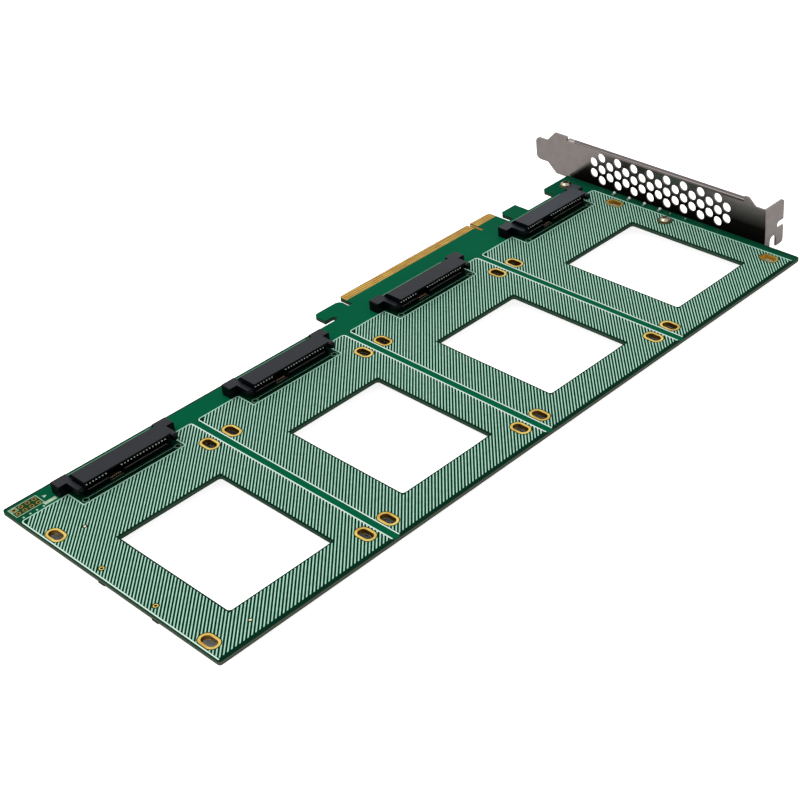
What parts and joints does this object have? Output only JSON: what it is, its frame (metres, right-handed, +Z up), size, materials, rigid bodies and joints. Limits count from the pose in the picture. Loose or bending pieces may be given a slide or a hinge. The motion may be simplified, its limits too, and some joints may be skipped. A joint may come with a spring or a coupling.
{
  "type": "pcie adapter card for 2.5 inch drives",
  "caption": "Full-length expansion card with an x16 edge tongue, a perforated bracket, and windowed bays with receptacles and slots for 2.5 inch drives.",
  "frame": {"origin": "bottom centre of the card's bounding box, on the plane that the two feet rest on", "axes": "+X from the edge tongue to the free long edge, +Y from the free end to the bracket, +Z up from the solder side to the component side"},
  "size_m": [0.136, 0.3006, 0.0237],
  "materials": {
    "solder_mask": "satin green solder mask over glass-fibre board",
    "gold_plate": "gold plate over copper",
    "bracket_steel": "nickel-plated sheet steel",
    "connector_plastic": "black moulded high-temperature plastic",
    "contact_metal": "gold-flashed spring contacts",
    "screw_steel": "nickel-plated screw",
    "lamp_resin": "water-clear lamp resin",
    "foot_plastic": "black moulded plastic",
    "white_ink": "pale screen-printed ink"
  },
  "bodies": {
    "root": {"bay_marking_1": "white_ink", "bay_marking_2": "white_ink", "bay_marking_3": "white_ink", "bay_marking_4": "white_ink", "board_foot_1": "foot_plastic", "board_foot_2": "foot_plastic", "bracket_screw_1": "screw_steel", "bracket_screw_2": "screw_steel", "circuit_board": "solder_mask", "drive_receptacle_1": "connector_plastic", "drive_receptacle_2": "connector_plastic", "drive_receptacle_3": "connector_plastic", "drive_receptacle_4": "connector_plastic", "edge_contacts_bottom": "gold_plate", "edge_contacts_top": "gold_plate", "foot_hole_plating": "gold_plate", "header_marking": "white_ink", "header_plating": "gold_plate", "mounting_bracket": "bracket_steel", "receptacle_contacts_1": "contact_metal", "receptacle_contacts_2": "contact_metal", "receptacle_contacts_3": "contact_metal", "receptacle_contacts_4": "contact_metal", "screw_pads": "gold_plate", "slot_plating_1": "gold_plate", "slot_plating_2": "gold_plate", "slot_plating_3": "gold_plate", "slot_plating_4": "gold_plate", "status_lamp_1": "lamp_resin", "status_lamp_2": "lamp_resin", "status_lamp_3": "lamp_resin", "status_lamp_4": "lamp_resin", "test_pads": "gold_plate"}
  },
  "joints": []
}
